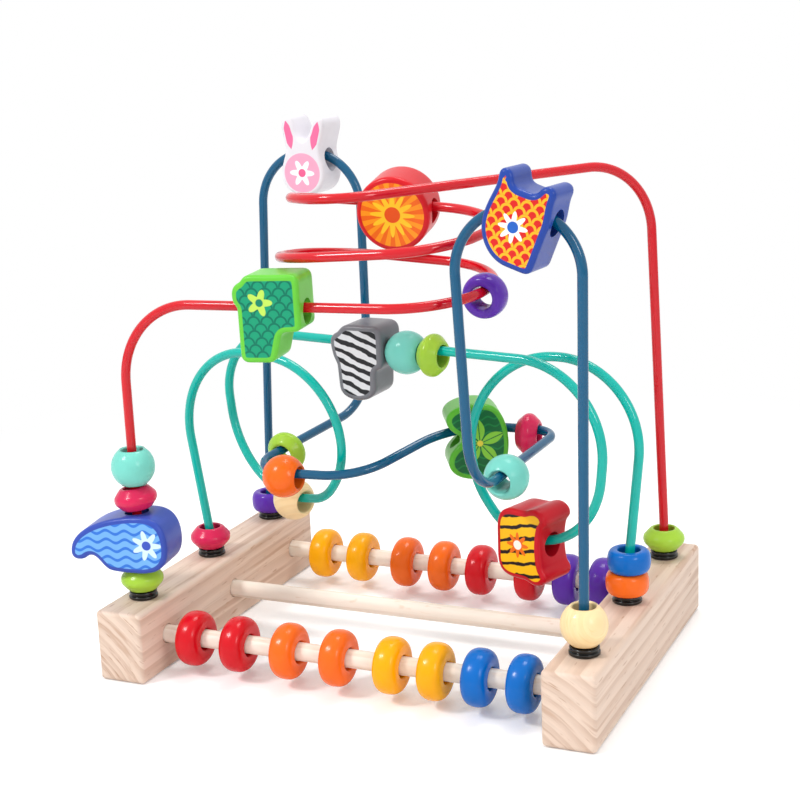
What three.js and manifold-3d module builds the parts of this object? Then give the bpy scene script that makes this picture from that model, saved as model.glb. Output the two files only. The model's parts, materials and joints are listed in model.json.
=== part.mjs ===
import * as THREE from 'three';
import { mergeVertices } from 'three/addons/utils/BufferGeometryUtils.js';
import Module from 'manifold-3d';

// A wooden bead maze: two bars and three dowels carry abacus beads and three bent wires,
// on which shaped blocks and round beads run. Millimetres, +Z up: X runs along the dowels,
// Y from the front to the rear, and the floor is at Z = 0.

// Base
const BAR_LENGTH = 205;
const BAR_WIDTH = 28;
const BAR_HEIGHT = 40;
const BAR_ROUND = 2.5;
const BAR_SPACING = 256; // between the bars' centre lines
const ROW_SPACING = 75; // between the rows of dowels and of wire posts
const DOWEL_DIAMETER = 10;
const DOWEL_HEIGHT = 20;
const SOCKET_DEPTH = 8;

// Wires, and the collars that hold their ends
const WIRE_DIAMETER = 5.2;
const WIRE_SEAT = 24; // depth of a wire's end in its bar
const SLEEVE_DIAMETER = 8.4;
const FLANGE_DIAMETER = 16;
const FLANGE_HEIGHT = 4.6;
const FLANGE_GROOVE = 0.9;
const GAP_STEP = 2; // between the points on which a wire's gap to itself is measured
const GAP_APART = 60; // least length of wire between two measured stretches
const COIL = { left: -46, right: 66, back: 9, start: 166, pitch: 29, halfTurns: 3, radius: 41 };

// Beads
const ABACUS_DIAMETER = 30.4;
const ABACUS_THICKNESS = 13.4;
const ABACUS_BORE = 12;
const BALL_DIAMETER = 24;
const DISC_DIAMETER = 23.6;
const DISC_THICKNESS = 12.5;
const DISC_FACE = 15.5; // diameter of the flat face at each end
const DISC_RIM = 2; // width of the flat rim
const RING_DIAMETER = 23.2;
const RING_THICKNESS = 12.2;
const BEAD_BORE = 12;

// Blocks
const BLOCK_DEPTH = 25;
const BLOCK_BORE = 13;
const BLOCK_ROUND = 1.2;
const ROUND_BLOCK_DIAMETER = 41;
const ELEPHANT_HEIGHT = 32.4;

// Clearance between pieces that seat on each other
const FIT = 0.3;

// Facets
const BEAD_SIDES = 14;
const BORE_SIDES = 12;
const COLLAR_SIDES = 12;
const DOWEL_SIDES = 16;
const WIRE_SIDES = 8;
const BEND_STEP = THREE.MathUtils.degToRad(16);
const OUTLINE_STEPS = 3;

const POST_X = BAR_SPACING / 2;
const SPAN = BAR_SPACING - BAR_WIDTH; // free length of the dowels
const WIRE_RADIUS = WIRE_DIAMETER / 2;
const UP = new THREE.Vector3(0, 0, 1);

const wasm = await Module();
wasm.setup();

function bare(geometry) {
  geometry.deleteAttribute('normal');
  geometry.deleteAttribute('uv');
  return mergeVertices(geometry, 1e-4);
}

function toSolid(geometry) {
  const { attributes, index } = bare(geometry);
  const vertProperties = Float32Array.from(attributes.position.array);
  const triVerts = Uint32Array.from(index.array);
  return new wasm.Manifold(new wasm.Mesh({ numProp: 3, vertProperties, triVerts }));
}

function cut(geometry, tools) {
  const solid = tools.reduce((body, tool) => body.subtract(toSolid(tool)), toSolid(geometry));
  const { vertProperties, triVerts } = solid.getMesh();
  const result = new THREE.BufferGeometry();
  result.setAttribute('position', new THREE.BufferAttribute(vertProperties, 3));
  result.setIndex(new THREE.BufferAttribute(triVerts, 1));
  return result;
}

function paint(color, roughness = 0.25, metalness = 0) {
  return new THREE.MeshStandardMaterial({ color, roughness, metalness });
}

function piece(name, geometry, material) {
  const mesh = new THREE.Mesh(geometry, material);
  mesh.name = name;
  return mesh;
}

// Base: the bars lie along Y, the dowels along X.

function bar(name, side) {
  const halfWidth = BAR_WIDTH / 2 - BAR_ROUND;
  const halfHeight = BAR_HEIGHT / 2 - BAR_ROUND;
  const section = new THREE.Shape();
  section.absarc(halfWidth, halfHeight, BAR_ROUND, 0, Math.PI / 2);
  section.absarc(-halfWidth, halfHeight, BAR_ROUND, Math.PI / 2, Math.PI);
  section.absarc(-halfWidth, -halfHeight, BAR_ROUND, Math.PI, 1.5 * Math.PI);
  section.absarc(halfWidth, -halfHeight, BAR_ROUND, 1.5 * Math.PI, 2 * Math.PI);
  const block = extrude(section, BAR_LENGTH, BAR_ROUND / 2, 2);
  const rows = [-ROW_SPACING, 0, ROW_SPACING];
  const tools = rows.flatMap((y) => [wireHole(y), dowelSocket(side, y)]);
  const mesh = piece(name, cut(block, tools), paint('#dcc4a8', 0.6));
  mesh.position.set(side * POST_X, 0, BAR_HEIGHT / 2);
  return mesh;
}

function wireHole(y) {
  const radius = SLEEVE_DIAMETER / 2 + FIT;
  const depth = WIRE_SEAT + FIT;
  const hole = new THREE.CylinderGeometry(radius, radius, 2 * depth, COLLAR_SIDES);
  return hole.rotateX(Math.PI / 2).translate(0, y, BAR_HEIGHT / 2);
}

function dowelSocket(side, y) {
  const radius = DOWEL_DIAMETER / 2 + FIT;
  const socket = new THREE.CylinderGeometry(radius, radius, 2 * SOCKET_DEPTH, DOWEL_SIDES);
  return socket.rotateZ(Math.PI / 2).translate(-side * BAR_WIDTH / 2, y, DOWEL_HEIGHT - BAR_HEIGHT / 2);
}

function dowel(name, row) {
  const length = SPAN + 2 * (SOCKET_DEPTH - FIT);
  const rod = new THREE.CylinderGeometry(DOWEL_DIAMETER / 2, DOWEL_DIAMETER / 2, length, DOWEL_SIDES);
  const mesh = piece(name, bare(rod.rotateZ(Math.PI / 2)), paint('#ead6b4', 0.55));
  mesh.position.set(0, row * ROW_SPACING, DOWEL_HEIGHT);
  return mesh;
}

// A solid of revolution about Z from a closed profile of [radius, height] points.
function revolve(profile, sides) {
  const points = [...profile, profile[0]].map(([radius, height]) => new THREE.Vector2(radius, height));
  return bare(new THREE.LatheGeometry(points, sides).rotateX(Math.PI / 2));
}

function collar(name, side, row) {
  const bore = (WIRE_RADIUS + FIT) / Math.cos(Math.PI / COLLAR_SIDES);
  const sleeve = SLEEVE_DIAMETER / 2;
  const flange = FLANGE_DIAMETER / 2;
  const profile = [
    [bore, -WIRE_SEAT],
    [sleeve, -WIRE_SEAT],
    [sleeve, FIT],
    [flange, FIT],
    [flange, 0.42 * FLANGE_HEIGHT],
    [flange - FLANGE_GROOVE, 0.52 * FLANGE_HEIGHT],
    [flange - FLANGE_GROOVE / 2, 0.7 * FLANGE_HEIGHT],
    [flange - FLANGE_GROOVE, FLANGE_HEIGHT],
    [bore, FLANGE_HEIGHT],
  ];
  const mesh = piece(name, revolve(profile, COLLAR_SIDES), paint('#161616', 0.2));
  mesh.position.set(side * POST_X, row * ROW_SPACING, BAR_HEIGHT);
  return mesh;
}

// Wires: a route is a list of corners [x, y, height above the bars, bend radius]. The wire runs straight
// between its bends, and two bends that share a short leg get smaller alike.

function bendWire(corners) {
  const points = corners.map(([x, y, height]) => new THREE.Vector3(x, y, BAR_HEIGHT + height));
  const legs = points.slice(1).map((point, i) => point.clone().sub(points[i]));
  const turns = legs.slice(1).map((leg, i) => legs[i].angleTo(leg));
  const radii = turns.map((turn, i) => corners[i + 1][3]);
  const setback = (i) => (i in turns ? radii[i] * Math.tan(turns[i] / 2) : 0);
  const shares = legs.map((leg, i) => Math.min(1, leg.length() / (setback(i - 1) + setback(i))));
  const rings = [{ point: points[0], tangent: legs[0].clone().normalize() }];
  turns.forEach((turn, i) => {
    const radius = radii[i] * Math.min(shares[i], shares[i + 1]);
    const forward = legs[i].clone().normalize();
    const inward = legs[i + 1].clone().projectOnPlane(forward).normalize();
    const start = points[i + 1].clone().addScaledVector(forward, -radius * Math.tan(turn / 2));
    const steps = Math.ceil(turn / BEND_STEP);
    for (let k = 0; k <= steps; k++) {
      const angle = (turn * k) / steps;
      const point = start.clone().addScaledVector(forward, radius * Math.sin(angle));
      point.addScaledVector(inward, radius * (1 - Math.cos(angle)));
      const tangent = forward.clone().multiplyScalar(Math.cos(angle));
      rings.push({ point, tangent: tangent.addScaledVector(inward, Math.sin(angle)) });
    }
  });
  rings.push({ point: points.at(-1), tangent: legs.at(-1).clone().normalize() });
  return rings;
}

// A curve whose parameter counts rings, so that straight runs cost one ring and bends one every few degrees.
class WireRoute extends THREE.Curve {
  constructor(corners) {
    super();
    this.rings = bendWire(corners);
    this.steps = this.rings.length - 1;
    this.reach = [0];
    for (let i = 1; i <= this.steps; i++) {
      this.reach.push(this.reach[i - 1] + this.rings[i].point.distanceTo(this.rings[i - 1].point));
    }
    this.length = this.reach[this.steps];
  }

  getUtoTmapping(u) {
    return u;
  }

  locate(t) {
    const i = Math.min(Math.floor(t * this.steps), this.steps - 1);
    return [this.rings[i], this.rings[i + 1], t * this.steps - i];
  }

  getPoint(t, target = new THREE.Vector3()) {
    const [before, after, share] = this.locate(t);
    return target.lerpVectors(before.point, after.point, share);
  }

  getTangent(t, target = new THREE.Vector3()) {
    const [before, after, share] = this.locate(t);
    return target.lerpVectors(before.tangent, after.tangent, share).normalize();
  }

  // The parameter at a distance along the wire from where it leaves the left bar.
  at(distance) {
    const wanted = THREE.MathUtils.clamp(distance + WIRE_SEAT, 0, this.length);
    const i = Math.min(this.reach.findLastIndex((reach) => reach <= wanted), this.steps - 1);
    return (i + (wanted - this.reach[i]) / (this.reach[i + 1] - this.reach[i])) / this.steps;
  }
}

function wire(name, route, color) {
  const section = new THREE.Shape();
  section.setFromPoints(ringPoints(WIRE_RADIUS, WIRE_SIDES));
  const tube = new THREE.ExtrudeGeometry(section, { steps: route.steps, extrudePath: route });
  const gap = leastGap(route);
  console.log(`${name}: length ${route.length.toFixed(0)} mm, least gap to itself ${gap.toFixed(1)} mm`);
  return piece(name, bare(tube), paint(color, 0.3, 0.1));
}

function leastGap(route) {
  const count = Math.floor(route.length / GAP_STEP);
  const points = Array.from({ length: count }, (_, i) => route.getPoint(route.at(i * GAP_STEP - WIRE_SEAT)));
  const skip = Math.ceil(GAP_APART / GAP_STEP);
  const nearest = points.slice(0, -skip).map((point, i) => {
    const others = points.slice(i + skip);
    return Math.min(...others.map((other) => point.distanceTo(other)));
  });
  return Math.min(...nearest) - WIRE_DIAMETER;
}

function ringPoints(radius, sides) {
  const angles = Array.from({ length: sides }, (_, i) => (2 * Math.PI * i) / sides);
  return angles.map((angle) => new THREE.Vector2(radius * Math.cos(angle), radius * Math.sin(angle)));
}

// Red: a post, a front strand into a coil that climbs, and a strand over to the right rear post.
function redRoute() {
  const front = -ROW_SPACING;
  const corners = [[-POST_X, front, -WIRE_SEAT], [-POST_X, front, COIL.start, 44]];
  for (let k = 0; k < 2 * COIL.halfTurns; k++) {
    const x = k % 4 < 2 ? COIL.right : COIL.left;
    const y = k % 4 === 0 || k % 4 === 3 ? front : COIL.back;
    corners.push([x, y, COIL.start + (COIL.pitch * (k + 0.5)) / 4, COIL.radius]);
  }
  const top = COIL.start + (COIL.pitch * COIL.halfTurns) / 2;
  corners.push([COIL.left + 14, COIL.back, top + 2.5, 31]);
  corners.push([COIL.left - 5, COIL.back - 46, top + 9.5, 31]);
  corners.push([COIL.left + 41, front + 7, top + 11.5, 31]);
  corners.push([POST_X - 8, ROW_SPACING, top + 17.5, 38]);
  corners.push([POST_X, ROW_SPACING, 20, 80], [POST_X, ROW_SPACING, -WIRE_SEAT]);
  return new WireRoute(corners);
}

// Teal: each post leans out and goes over into a loop; a strand joins the loops, which are turned about Z.
function tealRoute() {
  return new WireRoute([
    [-POST_X, 0, -WIRE_SEAT],
    [-POST_X, 0, 12, 50],
    [-POST_X - 17, 0, 130, 49],
    [15, -30, 122, 46],
    [-46, -8, 44, 24],
    [-112, 16, 33, 52],
    [-124, 20, 134, 36],
    [126, -20, 132, 48],
    [115, -16, 27, 45],
    [59, 2, 33, 34],
    [-16, 24, 126, 51],
    [POST_X + 12, 0, 132, 46],
    [POST_X, 0, 12, 50],
    [POST_X, 0, -WIRE_SEAT],
  ]);
}

// Blue: an arch at the left rear, a low run that winds through both loops, and an arch at the right front.
function blueRoute() {
  return new WireRoute([
    [-POST_X, ROW_SPACING, -WIRE_SEAT],
    [-POST_X, ROW_SPACING, 20, 80],
    [-POST_X + 9, ROW_SPACING, 231, 32],
    [-POST_X + 73, ROW_SPACING, 231, 32],
    [-POST_X + 73, ROW_SPACING, 80, 31],
    [-83, -33, 65, 16],
    [-17, -25, 64, 42],
    [17.5, 36, 81, 50],
    [77.5, 41, 80, 13],
    [POST_X - 57.5, -ROW_SPACING, 75, 28],
    [POST_X - 64, -ROW_SPACING, 220, 31.5],
    [POST_X + 2, -ROW_SPACING, 220, 31.5],
    [POST_X, -ROW_SPACING, 20, 80],
    [POST_X, -ROW_SPACING, -WIRE_SEAT],
  ]);
}

// Beads turn about their own Z, along the bore. Each shape is { geometry, bore radius, bored stretch of Z }.

function bead(profile, bore, halfLength) {
  const geometry = revolve(profile, BEAD_SIDES);
  return { geometry, bore: (bore / 2) * Math.cos(Math.PI / BEAD_SIDES), from: -halfLength, to: halfLength };
}

function ball() {
  const radius = BALL_DIAMETER / 2;
  const reach = Math.acos(BEAD_BORE / BALL_DIAMETER);
  const angles = Array.from({ length: 7 }, (_, i) => reach * (i / 3 - 1));
  const profile = angles.map((angle) => [radius * Math.cos(angle), radius * Math.sin(angle)]);
  return bead(profile, BEAD_BORE, radius * Math.sin(reach));
}

function disc() {
  const half = DISC_THICKNESS / 2;
  const profile = [
    [BEAD_BORE / 2, -half],
    [DISC_FACE / 2, -half],
    [DISC_DIAMETER / 2, -DISC_RIM / 2],
    [DISC_DIAMETER / 2, DISC_RIM / 2],
    [DISC_FACE / 2, half],
    [BEAD_BORE / 2, half],
  ];
  return bead(profile, BEAD_BORE, half);
}

// A ring whose rim is half an ellipse and whose bore has rounded mouths.
function ring(diameter, thickness, bore) {
  const half = thickness / 2;
  const wall = (diameter - bore) / 2;
  const rim = 0.72 * wall;
  const angles = Array.from({ length: 5 }, (_, i) => Math.PI * (i / 4 - 0.5));
  const outside = angles.map((angle) => [diameter / 2 - rim + rim * Math.cos(angle), half * Math.sin(angle)]);
  const mouth = half - 0.15 * wall;
  return bead([[bore / 2, -mouth], ...outside, [bore / 2, mouth]], bore, half);
}

function wireRing() {
  return ring(RING_DIAMETER, RING_THICKNESS, BEAD_BORE);
}

// Blocks are cut from a board: an outline in X and Z, with the bore through the origin along X or Z.

function extrude(outline, depth, round, steps) {
  const settings = { depth: depth - 2 * round, curveSegments: steps, bevelSegments: 1 };
  Object.assign(settings, { bevelThickness: round, bevelSize: round, bevelOffset: -round });
  const board = new THREE.ExtrudeGeometry(outline, settings);
  return board.translate(0, 0, round - depth / 2).rotateX(Math.PI / 2);
}

function block(outline, axis, from, to, tilt = 0) {
  const reach = 4 * Math.max(to, -from);
  const drill = new THREE.CylinderGeometry(BLOCK_BORE / 2, BLOCK_BORE / 2, reach, BORE_SIDES);
  const tool = axis === 'x' ? drill.rotateZ(Math.PI / 2) : drill.rotateX(Math.PI / 2);
  const board = extrude(outline, BLOCK_DEPTH, BLOCK_ROUND, OUTLINE_STEPS).rotateY(tilt);
  const geometry = cut(board, [tool]);
  return { geometry, axis, from, to, bore: (BLOCK_BORE / 2) * Math.cos(Math.PI / BORE_SIDES) };
}

function elephant() {
  const half = ELEPHANT_HEIGHT / 2;
  const outline = new THREE.Shape();
  outline.moveTo(4, -half);
  outline.quadraticCurveTo(21, -half, 21, -1);
  outline.quadraticCurveTo(21, half, 6, half);
  outline.bezierCurveTo(-14, half, -36, 8, -36, -5);
  outline.quadraticCurveTo(-36, -9.5, -31.5, -9.5);
  outline.quadraticCurveTo(-28, -9.5, -26.5, -7.5);
  outline.bezierCurveTo(-21, -4, -19, -12, -14, 1.5 - half);
  outline.quadraticCurveTo(-10, -half, 4, -half);
  return block(outline, 'z', -half, half);
}

function crocodile() {
  const outline = new THREE.Shape();
  outline.moveTo(-16, -20);
  outline.quadraticCurveTo(-16, -24.5, -11.5, -24.5);
  outline.lineTo(-1, -24.5);
  outline.quadraticCurveTo(2.8, -24.5, 3.6, -20.5);
  outline.lineTo(5.8, -12);
  outline.quadraticCurveTo(6.6, -8.8, 9.6, -8.8);
  outline.lineTo(13.5, -8.8);
  outline.quadraticCurveTo(17.5, -8.8, 17.5, -4.8);
  outline.lineTo(17.5, 16);
  outline.quadraticCurveTo(17.5, 20.5, 13, 20.5);
  outline.lineTo(-8.5, 20.5);
  outline.quadraticCurveTo(-12, 20.5, -13.5, 17);
  outline.quadraticCurveTo(-18.5, 15.5, -18.5, 10.5);
  outline.quadraticCurveTo(-18.5, 5.5, -16, 4.2);
  outline.lineTo(-16, -20);
  return block(outline, 'x', -16.5, 17.5);
}

function zebra() {
  const outline = new THREE.Shape();
  outline.moveTo(-11.5, -19.5);
  outline.bezierCurveTo(-11.5, -30, 11, -30, 11, -19.5);
  outline.lineTo(11.2, -12);
  outline.quadraticCurveTo(11.4, -9, 13.2, -9);
  outline.quadraticCurveTo(15.5, -9, 15.5, -6);
  outline.lineTo(15.5, 9);
  outline.quadraticCurveTo(15.5, 15, 9.5, 15);
  outline.lineTo(-4, 15);
  outline.quadraticCurveTo(-9, 15, -11.5, 10.5);
  outline.quadraticCurveTo(-17, 9, -16, 3);
  outline.quadraticCurveTo(-15, -4, -12.5, -7);
  outline.lineTo(-11.5, -19.5);
  return block(outline, 'x', -15.5, 15.5);
}

function tiger() {
  const outline = new THREE.Shape();
  outline.moveTo(-7, -15.5);
  outline.lineTo(7, -15.5);
  outline.bezierCurveTo(16, -15.5, 19.5, -12, 19.5, -3);
  outline.lineTo(19.5, 4);
  outline.quadraticCurveTo(23, 10, 20, 14.5);
  outline.quadraticCurveTo(16, 19.5, 11.5, 14.5);
  outline.quadraticCurveTo(0, 11.5, -11.5, 14.5);
  outline.quadraticCurveTo(-16, 19.5, -20, 14.5);
  outline.quadraticCurveTo(-23, 10, -19.5, 4);
  outline.lineTo(-19.5, -3);
  outline.bezierCurveTo(-19.5, -12, -16, -15.5, -7, -15.5);
  return block(outline, 'z', -15.5, 13.5);
}

function rabbit() {
  const outline = new THREE.Shape();
  outline.moveTo(0, -21);
  outline.bezierCurveTo(9, -21, 14, -15, 14, -8);
  outline.bezierCurveTo(14, -1.5, 10.5, 2, 11.5, 8);
  outline.lineTo(13.8, 17.5);
  outline.quadraticCurveTo(14.8, 25, 10.6, 25);
  outline.quadraticCurveTo(7, 25, 5, 17.5);
  outline.quadraticCurveTo(3, 11.5, 0, 11.5);
  outline.quadraticCurveTo(-3, 11.5, -5, 17.5);
  outline.quadraticCurveTo(-7, 25, -10.6, 25);
  outline.quadraticCurveTo(-14.8, 25, -13.8, 17.5);
  outline.lineTo(-11.5, 8);
  outline.bezierCurveTo(-10.5, 2, -14, -1.5, -14, -8);
  outline.bezierCurveTo(-14, -15, -9, -21, 0, -21);
  return block(outline, 'x', -13, 13);
}

// The owl leans to the right of its bore.
function owl() {
  const outline = new THREE.Shape();
  outline.moveTo(9, -23.5);
  outline.quadraticCurveTo(13.5, -23.5, 13.5, -19);
  outline.lineTo(14.5, -2);
  outline.bezierCurveTo(15.5, 6, 13, 10, 14, 15);
  outline.quadraticCurveTo(14, 19.5, 10, 19.5);
  outline.quadraticCurveTo(6.5, 19.5, 5.5, 16);
  outline.quadraticCurveTo(4.5, 13.5, 1, 13.5);
  outline.lineTo(-4, 13.5);
  outline.quadraticCurveTo(-7.5, 13.5, -8.5, 16.5);
  outline.quadraticCurveTo(-9.5, 20.5, -13, 20.5);
  outline.quadraticCurveTo(-17, 20.5, -16, 15.5);
  outline.bezierCurveTo(-15, 10, -18, 5, -18, -4);
  outline.bezierCurveTo(-18, -15, -9, -23.5, 0, -23.5);
  outline.lineTo(9, -23.5);
  return block(outline, 'x', -18, 15.5, 0.14);
}

// A leafy tuft of two lobes, with a hollow on the left where the wire comes in.
function tuft() {
  const outline = new THREE.Shape();
  outline.moveTo(-10, -2);
  outline.quadraticCurveTo(-18, -7, -18, -13);
  outline.bezierCurveTo(-18, -25, 5, -27, 12, -19);
  outline.bezierCurveTo(19, -11, 18.5, 11, 10, 17);
  outline.bezierCurveTo(1, 22, -17, 20, -17, 11.5);
  outline.quadraticCurveTo(-17, 6.5, -10, 2);
  outline.lineTo(-10, -2);
  return block(outline, 'x', -16, 17);
}

function roundBlock() {
  const radius = ROUND_BLOCK_DIAMETER / 2;
  const outline = new THREE.Shape(ringPoints(radius, 6 * OUTLINE_STEPS));
  return block(outline, 'x', -radius, radius);
}

// The frame of a piece threaded on a wire: along it towards +X, up, and to the back, turned about up by yaw.
function wireFrame(route, distance, yaw) {
  const t = route.at(distance);
  const along = route.getTangent(t);
  if (along.x < 0) along.negate();
  const up = UP.clone().projectOnPlane(along).normalize();
  along.applyAxisAngle(up, yaw);
  return { origin: route.getPoint(t), along, up, back: up.clone().cross(along) };
}

// Where a piece comes to hang: its bore straddles the wire's bend and sinks until it meets the wire.
function settle(route, distance, frame, { bore, from, to }) {
  const room = bore - WIRE_RADIUS - FIT;
  const far = Math.max(to, -from);
  const offsets = [];
  for (let reach = -far; reach <= far; reach += 1) {
    const offset = route.getPoint(route.at(distance + reach)).sub(frame.origin);
    const place = offset.dot(frame.along);
    if (place >= from && place <= to) offsets.push(offset);
  }
  const sides = offsets.map((offset) => offset.dot(frame.back));
  const middle = (Math.min(...sides) + Math.max(...sides)) / 2;
  const drops = offsets.map((offset, i) => {
    const aside = Math.min(Math.abs(sides[i] - middle), room);
    return Math.sqrt(room * room - aside * aside) - offset.dot(frame.up);
  });
  const place = frame.origin.clone().addScaledVector(frame.back, middle);
  return place.addScaledVector(frame.up, -Math.min(room, ...drops));
}

// Threads a shape on a wire; swing turns it about its bore.
function thread(name, shape, material, route, distance, { yaw = 0, swing = 0 } = {}) {
  const frame = wireFrame(route, distance, yaw);
  const mesh = piece(name, shape.geometry, material);
  mesh.position.copy(settle(route, distance, frame, shape));
  const basis = new THREE.Matrix4();
  if (shape.axis === 'x') basis.makeBasis(frame.along, frame.back, frame.up);
  else basis.makeBasis(frame.up.clone().negate(), frame.back, frame.along);
  mesh.quaternion.setFromRotationMatrix(basis);
  mesh.rotateOnWorldAxis(frame.along, swing);
  return mesh;
}

// Piles shapes on a post, the first on the collar and each on the one below; a route ends at its right post.
// A disc may lean, which takes more height, and a block may be turned about the post by yaw.
function pile(route, end, pieces) {
  let height = FLANGE_HEIGHT + FIT;
  return pieces.map(([name, shape, material, { lean = 0, yaw = 0 } = {}]) => {
    const half = shape.to * Math.cos(lean) + (DISC_FACE / 2) * Math.sin(lean);
    const centre = height + half;
    const distance = end === 'left' ? centre : route.length - 2 * WIRE_SEAT - centre;
    const post = route.getPoint(route.at(distance));
    const mesh = piece(name, shape.geometry, material);
    mesh.position.set(post.x, post.y, BAR_HEIGHT + centre);
    mesh.rotation.set(0, -lean, yaw);
    height += 2 * half + FIT;
    return mesh;
  });
}

// Threads shapes side by side along a wire, from the first one's centre on; a turned one takes more length.
function row(route, start, pieces) {
  let distance = start + pieces[0][1].from;
  return pieces.map(([name, shape, material, { yaw = 0 } = {}]) => {
    const mesh = thread(name, shape, material, route, distance - shape.from, { yaw });
    distance += shape.to - shape.from + FIT + (BEAD_BORE / 2) * Math.sin(Math.abs(yaw));
    return mesh;
  });
}

// Abacus beads hang on a dowel; the free length between the bars is shared out by the gaps.
function abacus(name, rowIndex, colors, gaps) {
  const free = SPAN - colors.length * ABACUS_THICKNESS;
  const whole = gaps.reduce((sum, gap) => sum + gap, 0);
  const shape = ring(ABACUS_DIAMETER, ABACUS_THICKNESS, ABACUS_BORE);
  let x = -SPAN / 2 - ABACUS_THICKNESS / 2;
  return colors.map((color, i) => {
    x += (free * gaps[i]) / whole + ABACUS_THICKNESS;
    const mesh = piece(`${name}_${i + 1}`, shape.geometry, paint(color));
    mesh.position.set(x, rowIndex * ROW_SPACING, DOWEL_HEIGHT + DOWEL_DIAMETER / 2 + FIT - shape.bore);
    mesh.rotation.y = Math.PI / 2;
    return mesh;
  });
}

const RED = '#c81e2d';
const ORANGE = '#f06e28';
const YELLOW = '#faaa0a';
const BLUE = '#005fc8';
const PURPLE = '#5f32a0';
const MINT = '#7de6cd';
const MAGENTA = '#d22d5f';
const LIME = '#a0cd3c';
const CREAM = '#fadc8c';

const toy = new THREE.Group();

const base = new THREE.Group();
base.add(bar('left_bar', -1), bar('right_bar', 1));
base.add(dowel('front_dowel', -1), dowel('middle_dowel', 0), dowel('rear_dowel', 1));
for (const [side, sideName] of [[-1, 'left'], [1, 'right']]) {
  for (const [row, rowName] of [[-1, 'front'], [0, 'middle'], [1, 'rear']]) {
    base.add(collar(`${sideName}_${rowName}_collar`, side, row));
  }
}
const frontColors = [RED, RED, ORANGE, ORANGE, YELLOW, YELLOW, BLUE, BLUE];
const rearColors = [YELLOW, YELLOW, ORANGE, ORANGE, RED, RED, PURPLE, PURPLE];
base.add(...abacus('front_bead', -1, frontColors, [11, 13.5, 16.5, 15.5, 17, 11, 10.5, 10.5, 10.5]));
base.add(...abacus('rear_bead', 1, rearColors, [16.5, 12, 16, 11, 10.5, 17, 10, 8, 15]));
toy.add(base);

const red = redRoute();
const redWire = new THREE.Group();
redWire.add(wire('red_wire', red, '#dc232d'));
redWire.add(...pile(red, 'left', [
  ['post_lime_disc', disc(), paint(LIME)],
  ['elephant_block', elephant(), paint('#505fb9', 0.4), { yaw: 0.17 }],
  ['post_magenta_disc', disc(), paint(MAGENTA), { lean: 0.14 }],
  ['post_mint_ball', ball(), paint(MINT)],
]));
redWire.add(thread('crocodile_block', crocodile(), paint('#73cd50', 0.4), red, 241.5, { yaw: 0.15 }));
redWire.add(thread('coil_purple_ring', wireRing(), paint(PURPLE), red, 363));
redWire.add(thread('round_block', roundBlock(), paint('#c82332', 0.4), red, 780, { yaw: 0.13, swing: 0.15 }));
redWire.add(...pile(red, 'right', [['rear_foot_lime_disc', disc(), paint(LIME)]]));
toy.add(redWire);

const teal = tealRoute();
const tealWire = new THREE.Group();
tealWire.add(wire('teal_wire', teal, '#00aaa0'));
tealWire.add(...pile(teal, 'left', [['left_foot_magenta_disc', disc(), paint(MAGENTA)]]));
tealWire.add(thread('left_loop_cream_ball', ball(), paint(CREAM, 0.4), teal, 308));
tealWire.add(...row(teal, 513, [
  ['zebra_block', zebra(), paint('#828287', 0.4), { yaw: 0.12 }],
  ['strand_mint_ball', ball(), paint(MINT)],
  ['strand_lime_disc', disc(), paint(LIME)],
]));
tealWire.add(thread('tiger_block', tiger(), paint('#be1e2d', 0.4), teal, 763));
tealWire.add(...pile(teal, 'right', [
  ['right_foot_orange_ring', wireRing(), paint(ORANGE)],
  ['right_foot_blue_ring', wireRing(), paint(BLUE)],
]));
toy.add(tealWire);

const blue = blueRoute();
const blueWire = new THREE.Group();
blueWire.add(wire('blue_wire', blue, '#0a5f91'));
blueWire.add(...pile(blue, 'left', [
  ['rear_foot_purple_ring', wireRing(), paint(PURPLE)],
]));
blueWire.add(thread('rabbit_block', rabbit(), paint('#f0eef2', 0.4), blue, 252));
blueWire.add(thread('run_lime_disc', disc(), paint(LIME), blue, 487, { yaw: 0.2 }));
blueWire.add(thread('run_orange_ball', ball(), paint(ORANGE), blue, 530, { yaw: -0.10 }));
blueWire.add(thread('green_block', tuft(), paint('#5fb941', 0.4), blue, 649, { yaw: 0.12 }));
blueWire.add(thread('run_magenta_disc', disc(), paint(MAGENTA), blue, 680));
blueWire.add(thread('run_mint_ball', ball(), paint(MINT), blue, 763));
blueWire.add(thread('owl_block', owl(), paint('#3c55be', 0.4), blue, 963, { yaw: -0.06 }));
blueWire.add(...pile(blue, 'right', [['front_foot_cream_ball', ball(), paint(CREAM, 0.4)]]));
toy.add(blueWire);

// The origin is under the middle of the whole toy.
const box = new THREE.Box3().setFromObject(toy, true);
const middle = box.getCenter(new THREE.Vector3());
toy.position.set(-middle.x, -middle.y, 0);

export default toy;
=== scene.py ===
import json
import math

import bmesh
import bpy
import numpy as np
from mathutils import Matrix, Vector
from mathutils.geometry import delaunay_2d_cdt


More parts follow.
